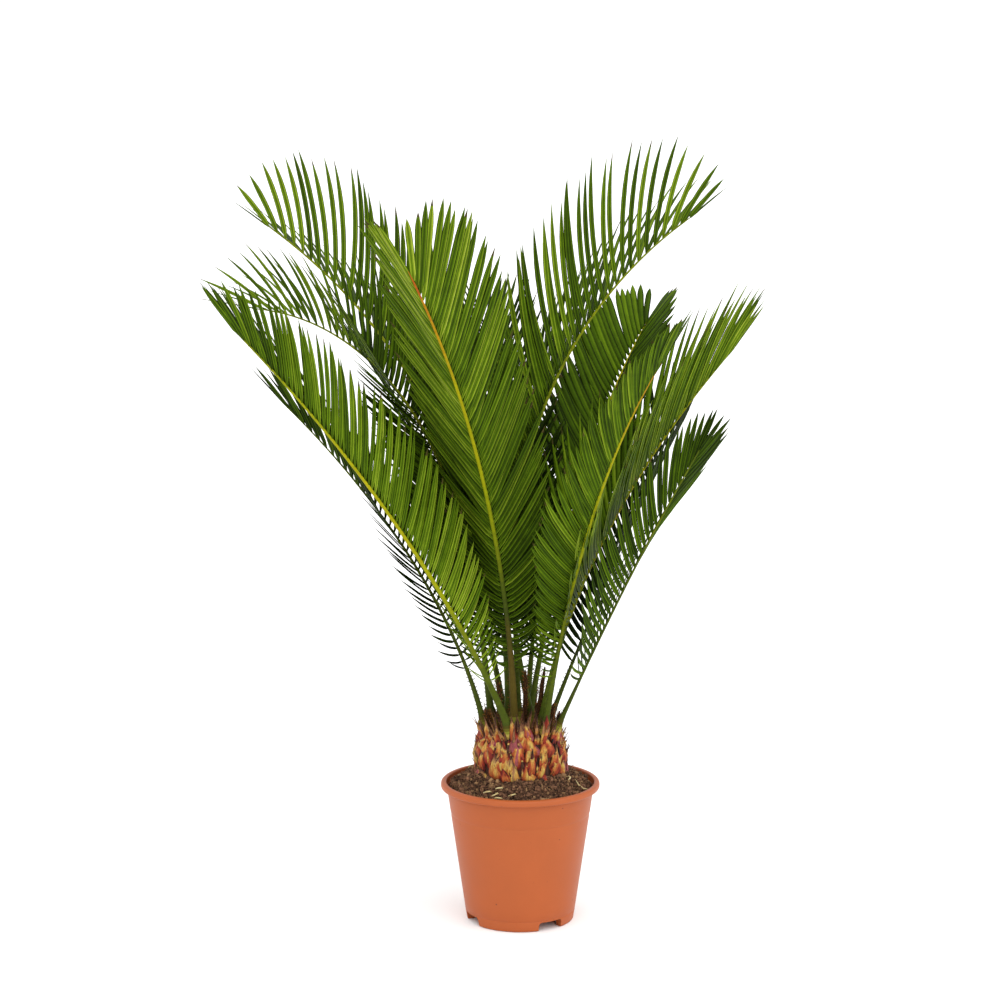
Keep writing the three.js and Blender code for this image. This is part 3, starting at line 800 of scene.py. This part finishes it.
# Places across the front of a scale, from one edge to the other, and the middle of each face between them.
SCALE_ACROSS = np.linspace(-1.0, 1.0, 11)
SCALE_FACES = (SCALE_ACROSS[1:] + SCALE_ACROSS[:-1]) / 2
# Share of its height from which a scale narrows.
SCALE_TAPER_FROM = 0.32


def scale_tones(seed, kind, recipe, t):
    """Finishes of the faces across a scale at a share t of its height: by its recipe, patchy and flecked."""
    tones = []
    for s in SCALE_FACES:
        patch = noise.noise(Vector((s * 2.3 + seed, t * 1.3, seed + 5)))
        fleck = noise.noise(Vector((s * 7 + seed, t * 4.5, seed + 9)))
        rim = (0.36 - abs(s)) * (2.8 if kind > 0.3 else -1.2) * smooth(0.9, 0.6, t)
        tone = scale_tone(value_at(recipe, t) + 2.2 * patch * (1 - 0.5 * t) + 1.3 * fleck + rim + 0.1)
        if kind > 0.72 and 0.1 < t < 0.75 and patch > 0.0:
            tone = PINK
        tones.append(tone)
    return tones


def scale(piece, rng, azimuth, foot, width, height, thick, lean, recipe, inset, steps=20):
    """A pointed leaf base: wide and thick below, drawn out into a dry tip that stands off a little."""
    out = polar(1.0, azimuth, 0)
    side = np.array([-out[1], out[0], 0.0])
    seed = rng.uniform(0, 90)
    bow = rng.uniform(-0.55, 0.55) * width
    kind = rng.uniform()
    rings = []
    for k in range(steps + 1):
        t = k / steps
        z = foot + height * t
        body = 0.70 + 0.30 * smooth(0.0, 0.25, t)
        taper = 1 - max((t - SCALE_TAPER_FROM) / (1 - SCALE_TAPER_FROM), 0.0) ** 1.25
        half = max(width / 2 * body * taper, 0.0003)
        swell = thick * math.sin(math.pi * (0.06 + 0.86 * t)) ** 0.8 * (0.3 + 0.7 * taper) + 0.0004
        stand = caudex_radius(min(z, 0.2035)) - inset + 0.0022 * smooth(0.0, 0.5, t) + lean * t ** 1.8
        centre = out * stand + side * bow * t ** 1.6 + np.array([0, 0, z])
        front = []
        for s in SCALE_ACROSS:
            dents = 0.35 * noise.noise(Vector((s * 1.6 + seed, t * 5, seed)))
            front.append(centre + side * half * s + out * swell * (1 - abs(s) ** 2.4 + dents))
        back = [centre + side * half * s - out * 0.0012 for s in (0.6, 0.0, -0.6)]
        rings.append(front + back)
    hidden = [0] * 4
    piece.sleeve(rings, [scale_tones(seed, kind, recipe, k / steps) + hidden for k in range(steps)])


def make_caudex_core():
    """The body under the scales: dark brown round its sides and near black on top."""
    core = Piece()
    profile = [(0.0005, CAUDEX_FOOT)] + [(r - CORE_INSET, z) for r, z in CAUDEX_PROFILE[:6]]
    profile += [(0.036, 0.2085), (0.026, 0.2100), (0.012, 0.2110), (0.0005, CAUDEX_TOP)]
    turned(core, profile, 72, lambda band: scale_tone(0 if band > 5 else 9))
    return stand_for(core.make("caudex_core", SCALE_FINISHES), ["caudex"])


# Rows of scales: height of their feet, number round the caudex, width and height of one.
SCALE_ROWS = [
    (0.1440, 19, 0.0160, 0.027), (0.1535, 20, 0.0150, 0.028), (0.1635, 21, 0.0145, 0.029),
    (0.1730, 21, 0.0140, 0.029), (0.1820, 20, 0.0135, 0.028), (0.1905, 19, 0.0125, 0.027),
    (0.1975, 16, 0.0120, 0.025),
]


def make_scales():
    """Rows of leaf bases round the caudex, each row half a step out of line with the one below."""
    rng = np.random.default_rng(42)
    scales = Piece()
    for row, (foot, count, width, height) in enumerate(SCALE_ROWS):
        for i in range(count):
            azimuth = 360 * (i + 0.5 * (row % 2)) / count + rng.uniform(-9, 9) + row * 3
            recipe = SCALE_RECIPES[int(rng.integers(len(SCALE_RECIPES)))]
            inset = 0.0046 - 0.0008 * row / 7
            scale(
                scales, rng, azimuth, foot + rng.uniform(-0.0045, 0.0045), width * rng.uniform(0.70, 1.40),
                height * rng.uniform(0.7, 1.3), rng.uniform(0.0026, 0.0050), rng.uniform(0.0, 0.0036),
                recipe, inset,
            )
    return add_to(scales.make("leaf_base_scales", SCALE_FINISHES))


def spike(piece, rng, foot, heading, lean, length, width, places, steps=9):
    """A dry papery bract: a thin channelled blade drawn out to a point."""
    out = polar(1.0, heading, 0)
    side = np.array([-out[1], out[0], 0.0])
    rings = []
    p = np.asarray(foot, float)
    angle = math.radians(lean)
    curl = math.radians(rng.uniform(-10, 22))
    swing = rng.uniform(-0.25, 0.25)
    for k in range(steps + 1):
        t = k / steps
        a = angle + curl * t
        ahead = unit(out * math.sin(a) + np.array([0, 0, math.cos(a)]) + side * swing * t)
        face = out * math.cos(a) - np.array([0, 0, math.sin(a)])
        if k:
            p = p + ahead * length / steps
        half = width / 2 * (1 - t ** 1.4) + 0.0002
        deep = width * 0.2 * (1 - t) + 0.0002
        ring = [p - side * half, p - side * half * 0.5 + face * deep, p + face * deep * 1.3]
        ring += [p + side * half * 0.5 + face * deep, p + side * half, p - face * deep * 0.3]
        rings.append(ring)
    bands = []
    for k in range(steps):
        at = value_at(places, k / steps)
        bands.append([scale_tone(at + rng.uniform(-0.5, 0.5)) for _ in range(len(ring))])
    piece.sleeve(rings, bands)


# Places on the ramp of scale colours from the foot of a bract or flake to its tip.
BRACT_RECIPES = [
    [2.6, 3.2, 7.6, 8.4, 9.0], [3.4, 4.4, 7.4, 8.2, 9.0], [2.0, 3.0, 8.2, 9.0, 9.0],
    [4.4, 5.4, 7.0, 8.0, 8.6], [7.6, 7.8, 8.2, 8.6, 9.0],
]


def make_bracts():
    """Papery spikes that stand between the stalks, thickest at the shoulder."""
    rng = np.random.default_rng(8)
    bracts = Piece()
    seats = [polar(*frond.seat, 0) for frond in FRONDS]
    for i in range(BRACT_COUNT):
        ring = radius_between(rng, 0.004, 0.0435)
        azimuth = rng.uniform(0, 360)
        spot = polar(ring, azimuth, 0)
        if min(np.linalg.norm(spot - seat) for seat in seats) < 0.0055:
            continue
        foot = polar(ring, azimuth, SEAT_HEIGHT - 0.008 + SEAT_RISE * (1 - ring / SEAT_EDGE))
        lean = ring / SEAT_EDGE * 16 + rng.uniform(-7, 7)
        length = rng.uniform(0.012, 0.036)
        width = rng.uniform(0.0030, 0.0085)
        spike(bracts, rng, foot, azimuth, lean, length, width, BRACT_RECIPES[i % len(BRACT_RECIPES)])
    return add_to(bracts.make("dry_bracts", SCALE_FINISHES))


FLAKE_RECIPES = [
    [2.6, 3.2, 7.6, 8.4, 9.0], [8.6, 9.0, 9.0, 0.6, 0.2], [2.0, 2.2, 1.4, 0.8, 0.2],
    [4.4, 5.4, 7.0, 8.0, 8.6], [1.2, 0.8, 0.4, 0.2, 0.0],
]


def make_flakes():
    """Loose dry points that lift off the scales all round the caudex."""
    rng = np.random.default_rng(64)
    flakes = Piece()
    for i in range(FLAKE_COUNT):
        z = rng.uniform(0.152, 0.204)
        azimuth = rng.uniform(0, 360)
        foot = polar(caudex_radius(z) - 0.0012, azimuth, z)
        lean = rng.uniform(-2, 26)
        width = rng.uniform(0.0010, 0.0040)
        length = rng.uniform(0.006, 0.017)
        spike(flakes, rng, foot, azimuth, lean, length, width, FLAKE_RECIPES[i % len(FLAKE_RECIPES)], 7)
    return add_to(flakes.make("scale_flakes", SCALE_FINISHES))


# Dead leaf stubs: distance from the middle, azimuth, length and lean.
STUBS = [
    (0.0170, -24, 0.074, 9), (0.0200, -150, 0.060, 8), (0.0120, -128, 0.066, 4), (0.0100, -62, 0.070, 1),
    (0.0300, -8, 0.032, 10), (0.0220, 130, 0.050, -2), (0.0280, 60, 0.044, 8), (0.0330, -165, 0.026, 8),
]
STUB_RADIUS = 0.0026
HAIR_RADIUS = 0.00026

WOOL_FINISHES = [
    wool_finish("wool_dark", colour(76, 48, 24)), wool_finish("wool_brown", colour(116, 72, 34)),
    wool_finish("wool_tan", colour(158, 106, 54)), wool_finish("wool_orange", colour(198, 122, 54)),
]
WOOL_MIX = [0, 1, 2, 2, 3, 3]


def hair(piece, rng, start, reach, tone):
    """One kinked hair of wool."""
    tip = start + reach
    middle = (start + tip) / 2 + rng.uniform(-0.0006, 0.0006, 3)
    strand(piece, [start, middle, tip], HAIR_RADIUS, tone, 3)


def make_wool():
    """Dead stubs wrapped in brown wool, and wool between the feet of the stalks."""
    rng = np.random.default_rng(77)
    wool = Piece()
    for ring, azimuth, length, lean in STUBS:
        foot = polar(ring, azimuth, SEAT_HEIGHT - 0.003)
        out = polar(1.0, azimuth, 0)
        a = math.radians(lean)
        ahead = out * math.sin(a) + np.array([0, 0, math.cos(a)])
        points = [foot + ahead * length * k / 10 + rng.uniform(-0.0004, 0.0004, 3) for k in range(11)]
        strand(wool, points, STUB_RADIUS, 0, 9)
        for _ in range(STUB_HAIRS):
            turn = rng.uniform(0, 6.28)
            around = np.array([math.cos(turn), math.sin(turn), 0])
            start = foot + ahead * length * rng.uniform(0.02, 0.97) + around * 0.0021
            reach = unit(around + np.array([0, 0, rng.uniform(0.2, 1.8)])) * rng.uniform(0.0015, 0.0042)
            hair(wool, rng, start, reach, int(rng.choice(WOOL_MIX)))
    for _ in range(LOOSE_HAIRS):
        ring = radius_between(rng, 0.0, 0.038)
        start = polar(ring, rng.uniform(0, 360), SEAT_HEIGHT + rng.uniform(0, 0.004))
        reach = unit(np.array([rng.uniform(-1, 1), rng.uniform(-1, 1), rng.uniform(0.4, 2.0)]))
        hair(wool, rng, start, reach * rng.uniform(0.004, 0.012), int(rng.choice(WOOL_MIX)))
    return add_to(wool.make("crown_wool", WOOL_FINISHES))


# ---- Fronds ----


def frond_axes(frond, u):
    """Directions at a share u of the frond's length: along the rib, to its side and to its upper face."""
    share = max(u, 0.0)
    azimuth = math.radians(lerp(*frond.heading, share))
    tilt = math.radians(lerp(*frond.lean, share ** frond.bend))
    turn = math.radians(float(np.interp(share, FOOT_MIDDLE_TIP, frond.roll)))
    out = np.array([math.cos(azimuth), math.sin(azimuth), 0])
    up = np.array([0, 0, 1.0])
    along = out * math.sin(tilt) + up * math.cos(tilt)
    level = np.array([math.sin(azimuth), -math.cos(azimuth), 0])
    inward = -out * math.cos(tilt) + up * math.sin(tilt)
    side = level * math.cos(turn) + inward * math.sin(turn)
    face = inward * math.cos(turn) - level * math.sin(turn)
    return along, side, face


def rib_line(frond):
    """Points along the middle of the rib, from its seat on the caudex to its tip."""
    radius, azimuth = frond.seat
    count = 120
    points = [polar(radius, azimuth, SEAT_HEIGHT + SEAT_RISE * (1 - radius / SEAT_EDGE))]
    for i in range(count):
        along, _, _ = frond_axes(frond, (i + 0.5) / count)
        points.append(points[i] + along * frond.length / count)
    return np.array(points)


def point_at(line, length, distance):
    """The point at a distance along the rib; a negative one lies below its seat."""
    if distance < 0:
        return line[0] + unit(line[1] - line[0]) * distance
    place = min(distance / length, 1.0) * (len(line) - 1)
    i = min(int(place), len(line) - 2)
    return lerp(line[i], line[i + 1], place - i)


def rib_radius(u):
    """Radius of a usual rib at a share u of its length."""
    if u < 0.25:
        return lerp(RIB_FOOT_RADIUS, RIB_MIDDLE_RADIUS, smooth(0, 0.25, u))
    return lerp(RIB_MIDDLE_RADIUS, RIB_TIP_RADIUS, (u - 0.25) / 0.75)


def slimness(frond):
    """Thickness of a frond's rib against the usual: short fronds have thinner ones."""
    return (frond.length / USUAL_LENGTH) ** 0.7


def leaflet_places(frond):
    """Distances of its pairs of leaflets along the rib, wider apart towards the tip."""
    places = []
    distance = BARE_STALK
    while distance < frond.length - 0.003:
        places.append(distance)
        distance += frond.gap * (1 + SPACING_GROWTH * smooth(0.45, 1, distance / frond.length))
    return places


# Section of a leaflet, in half widths and in thicknesses, with how much darker each face is than the blade:
# painted shade on the edges turned down, a painted highlight on a pale crest inside each edge, painted shade
# in a dark groove along the middle, and a duller underside.
LEAFLET_SECTION = [
    (-1.0, -0.30, 3), (-0.74, 0.30, -2), (-0.46, 0.46, 0), (-0.10, 0.05, 3), (0.10, 0.05, 1),
    (0.46, 0.46, -1), (0.74, 0.30, 2), (1.0, -0.30, 3), (0.60, -0.50, 0), (0.0, -0.95, 1),
    (-0.60, -0.50, 2),
]
LEAFLET_STEPS = 10
LEAFLET_THICKNESS = 0.00075

# One leaflet: its angle to the rib, its rise from the rib's flat, the turn of its blade, its length and
# width, how strongly it bows forward, how far its end droops, and how late and how suddenly it narrows.
Blade = namedtuple("Blade", "angle rise turn length width bow droop full blunt")


def unruly(u):
    """How short and untidy leaflets are at a share u of the rib: 1 near its foot and 0 further up."""
    return smooth(0.28, 0.12, u)


def leaflet_blade(row, frond, number, u, hand):
    """Shape of one leaflet, by its place on the frond and with a little chance in it."""
    low = unruly(u)
    opening = np.interp(u, FOOT_MIDDLE_TIP, frond.spread) * np.interp(u, ANGLE_PLACES, LEAFLET_ANGLES)
    bunched = 2.4 * wobble(row, number // 3, hand + 70)
    angle = opening + bunched + (2 + 9 * low) * wobble(row, number, hand)
    lifted = frond.keel * (0.75 + 0.25 * smooth(0.1, 0.4, u))
    rise = lifted + (3 + 9 * low) * wobble(row, number, hand + 3)
    turn = frond.tilt + 6 * wobble(row, number, hand + 30)
    grown = 0.18 + 0.82 * smooth(0.08, 0.42, u)
    longest = lerp(*frond.leaf, max(0.0, (u - FULL_UNTIL) / (1 - FULL_UNTIL)) ** 3)
    length = longest * grown * (1 + (0.05 + 0.12 * low) * wobble(row, number, hand + 6))
    broad = lerp(*frond.blade, smooth(0.5, 0.85, u))
    width = broad * (1 - 0.50 * low) * min(1.0, 0.55 + 0.45 * length / 0.07)
    bow = 0.20 + 0.08 * smooth(0.4, 0.1, u)
    droop = 0.10 + 0.05 * wobble(row, number, hand + 20)
    full = lerp(0.50, 0.72, smooth(0.0040, 0.0078, width))
    blunt = 2.1 + 0.4 * wobble(row, number, hand + 35)
    return Blade(
        math.radians(angle), math.radians(rise), math.radians(turn), length, width, bow, droop, full, blunt,
    )


def leaflet_line(root, axes, hand, blade):
    """Points along the middle of a leaflet, and the direction of each step between them."""
    along, side, face = axes
    points = [root]
    directions = []
    for k in range(LEAFLET_STEPS):
        t = (k + 0.5) / LEAFLET_STEPS
        a = blade.angle * lerp(1.0 + blade.bow, 1.0 - blade.bow, t)
        rise = blade.rise * lerp(1.06, 0.94, t) - blade.droop * max(t - 0.6, 0.0) * 1.5
        outward = side * hand * math.cos(rise) + face * math.sin(rise)
        directions.append(unit(along * math.cos(a) + outward * math.sin(a)))
        points.append(points[-1] + directions[-1] * blade.length / LEAFLET_STEPS)
    return points, directions


def leaflet_rings(root, axes, hand, blade):
    """Sections of a leaflet: narrow at its root, full for much of its length, then drawn to a short tip."""
    points, directions = leaflet_line(root, axes, hand, blade)
    along = axes[0]
    rings = []
    for k in range(LEAFLET_STEPS + 1):
        t = 1 - (1 - k / LEAFLET_STEPS) ** 1.15
        at = t * LEAFLET_STEPS
        i = min(int(at), LEAFLET_STEPS - 1)
        p = lerp(points[i], points[i + 1], at - i)
        level = unit(along - directions[i] * np.dot(along, directions[i]))
        upright = np.cross(level, directions[i]) * hand
        across = level * math.cos(blade.turn) + upright * math.sin(blade.turn)
        normal = upright * math.cos(blade.turn) - level * math.sin(blade.turn)
        wide = 0.36 + 0.64 * smooth(0.0, 0.09, t)
        narrow = max(1 - max((t - blade.full) / (1 - blade.full), 0.0) ** blade.blunt, 0.03)
        half = blade.width / 2 * wide * narrow
        deep = LEAFLET_THICKNESS * (0.35 + 0.65 * narrow)
        rings.append([p + across * x * half + normal * y * deep for x, y, _ in LEAFLET_SECTION])
    return rings


def leaflet_bands(row, frond, number, u, hand):
    """Finishes of a leaflet's faces, by the frond's tints, partly painted shade, and by the section's
    painted highlights and shade; the tip of some leaflets has dried.
    """
    # The frond's tints carry painted shade; the wobble is chance tone from leaflet to leaflet.
    shade = lerp(*frond.tints, u) + 0.85 * wobble(row, number, hand + 9) - 0.2 * unruly(u)
    tone = int(round(shade * LEAF_BLEND))
    # Each face is made darker or lighter by its step of painted shade or painted highlight in the section.
    band = [min(max(tone + darker, 0), len(LEAVES) - 1) for _, _, darker in LEAFLET_SECTION]
    bands = [band] * LEAFLET_STEPS
    if abs(wobble(row, number, hand + 40)) > 0.7:
        bands[-1] = DRY
    return bands


def make_leaflets(row, frond):
    """Both rows of leaflets of one frond."""
    line = rib_line(frond)
    blades = Piece()
    for number, distance in enumerate(leaflet_places(frond)):
        u = distance / frond.length
        axes = frond_axes(frond, u)
        middle = point_at(line, frond.length, distance)
        flank = axes[1] * rib_radius(u) * slimness(frond) * 0.85
        for hand in (1, -1):
            blade = leaflet_blade(row, frond, number, u, hand)
            rings = leaflet_rings(middle + flank * hand, axes, hand, blade)
            blades.sleeve(rings, leaflet_bands(row, frond, number, u, hand))
    return stand_for(blades.make(f"{frond.name}_leaflets", FROND_FINISHES), [frond.name])


def rib_tone(row, k, distance, u, places):
    """Number of the finish at a place on the rib: orange and yellow at its very foot, then by ripeness."""
    place = value_at(places, u) * smooth(-0.006, 0.020, distance) + 0.12 * wobble(row, k, 51)
    return min(max(int(round(place * RIB_BLEND)), 0), len(RIB_FINISHES) - 1)


def make_spines(stem, row, frond, line):
    """Short teeth in two rows along the bare stalk."""
    tone = DARK_STALK * RIB_BLEND
    for number in range(SPINE_COUNT):
        distance = SPINE_START + SPINE_SPACING * number
        along, side, face = frond_axes(frond, distance / frond.length)
        centre = point_at(line, frond.length, distance)
        for hand in (1, -1):
            length = 0.0022 + 0.0010 * wobble(row, number, hand + 60) + 0.00012 * number
            start = centre + side * hand * rib_radius(distance / frond.length) * slimness(frond) * 0.8
            ahead = unit(side * hand + along * 0.6 + face * 0.3)
            points = [start, start + ahead * length * 0.5, start + ahead * length]
            strand(stem, points, SPINE_RADIUS, tone, 4)


def make_rib(row, frond):
    """The rib of one frond, swollen at its foot, with the spines on its stalk."""
    line = rib_line(frond)
    stem = Piece()
    count = 110
    around = 10
    rings = []
    bands = []
    for k in range(count + 1):
        distance = lerp(-STALK_SUNK, frond.length + 0.004, (k / count) ** 1.25)
        u = distance / frond.length
        along, side, face = frond_axes(frond, min(u, 1.0))
        centre = point_at(line, frond.length, distance)
        if u > 1:
            centre = line[-1] + along * (distance - frond.length)
        radius = rib_radius(min(max(u, 0.0), 1.0)) * slimness(frond) * (1 - 0.7 * smooth(0.97, 1.006, u))
        swollen = 1 + 0.85 * smooth(0.026, -0.002, distance)
        wide = radius * swollen * (1 + 0.04 * wobble(row, k, 50))
        rings.append(oval(centre, side, wide, face, wide * 0.86, around))
        if k < count:
            bands.append(rib_tone(row, k, distance, u, frond.rib))
    stem.sleeve(rings, bands)
    make_spines(stem, row, frond, line)
    return add_to(stem.make(f"{frond.name}_rib", RIB_FINISHES))


# ---- Studio ----

FLOOR_REACH = 2000.0
FLOOR_DROP = 0.0004
AIR_STRENGTH = 1.08
CAMERA_PLACE = (-0.0217, -3.0, 0.972)
CAMERA_DIP = 9.77
SENSOR_WIDTH = 36
FOCAL_LENGTH = 104.04


def sun(name, heading, height, strength, softness):
    """A broad soft light that shines from a heading and a height above the floor."""
    lamp = bpy.data.lights.new(name, "SUN")
    lamp.energy = strength
    lamp.angle = math.radians(softness)
    place = Vector(polar(1.0, heading, math.tan(math.radians(height))))
    put_in_scene(name, lamp).rotation_euler = place.to_track_quat("Z", "Y").to_euler()


def make_studio():
    """A pale floor, even light from all round, and two soft suns from the front."""
    floor = Piece()
    far = FLOOR_REACH
    floor.patch([(-far, -far, 0), (far, -far, 0), (far, far, 0), (-far, far, 0)], [(0, 1, 2, 3)], [0])
    paper = finish(
        "studio_paper", (0.93, 0.93, 0.93, 1), (0.92, 0.92, 0.92, 1), scale=2, softness=0.3,
        roughness=(0.9, 0.95), bump=0.0, grain=50,
    )
    ground = floor.make("studio_floor", [paper])
    ground.location.z = -FLOOR_DROP
    world = bpy.data.worlds.new("studio_air")
    world.use_nodes = True
    world.node_tree.nodes["Background"].inputs["Color"].default_value = (1.0, 1.0, 1.0, 1)
    world.node_tree.nodes["Background"].inputs["Strength"].default_value = AIR_STRENGTH
    bpy.context.scene.world = world
    sun("key", heading=-50, height=46, strength=1.7, softness=90)
    sun("fill", heading=-165, height=38, strength=0.8, softness=120)


def make_camera():
    """A long lens in front of the plant, looking a little down."""
    lens = bpy.data.cameras.new("studio_camera")
    lens.sensor_width = SENSOR_WIDTH
    lens.lens = FOCAL_LENGTH
    holder = put_in_scene("studio_camera", lens)
    holder.location = CAMERA_PLACE
    holder.rotation_euler = (math.radians(90 - CAMERA_DIP), 0, 0)
    bpy.context.scene.camera = holder


# ---- The whole plant ----

bpy.context.scene.view_settings.view_transform = "Standard"
make_studio()
make_camera()
make_pot()
make_soil()
make_crumbs()
make_fibres()
make_slivers()
make_caudex_core()
make_scales()
make_bracts()
make_flakes()
make_wool()
for row, frond in enumerate(FRONDS):
    make_leaflets(row, frond)
    make_rib(row, frond)
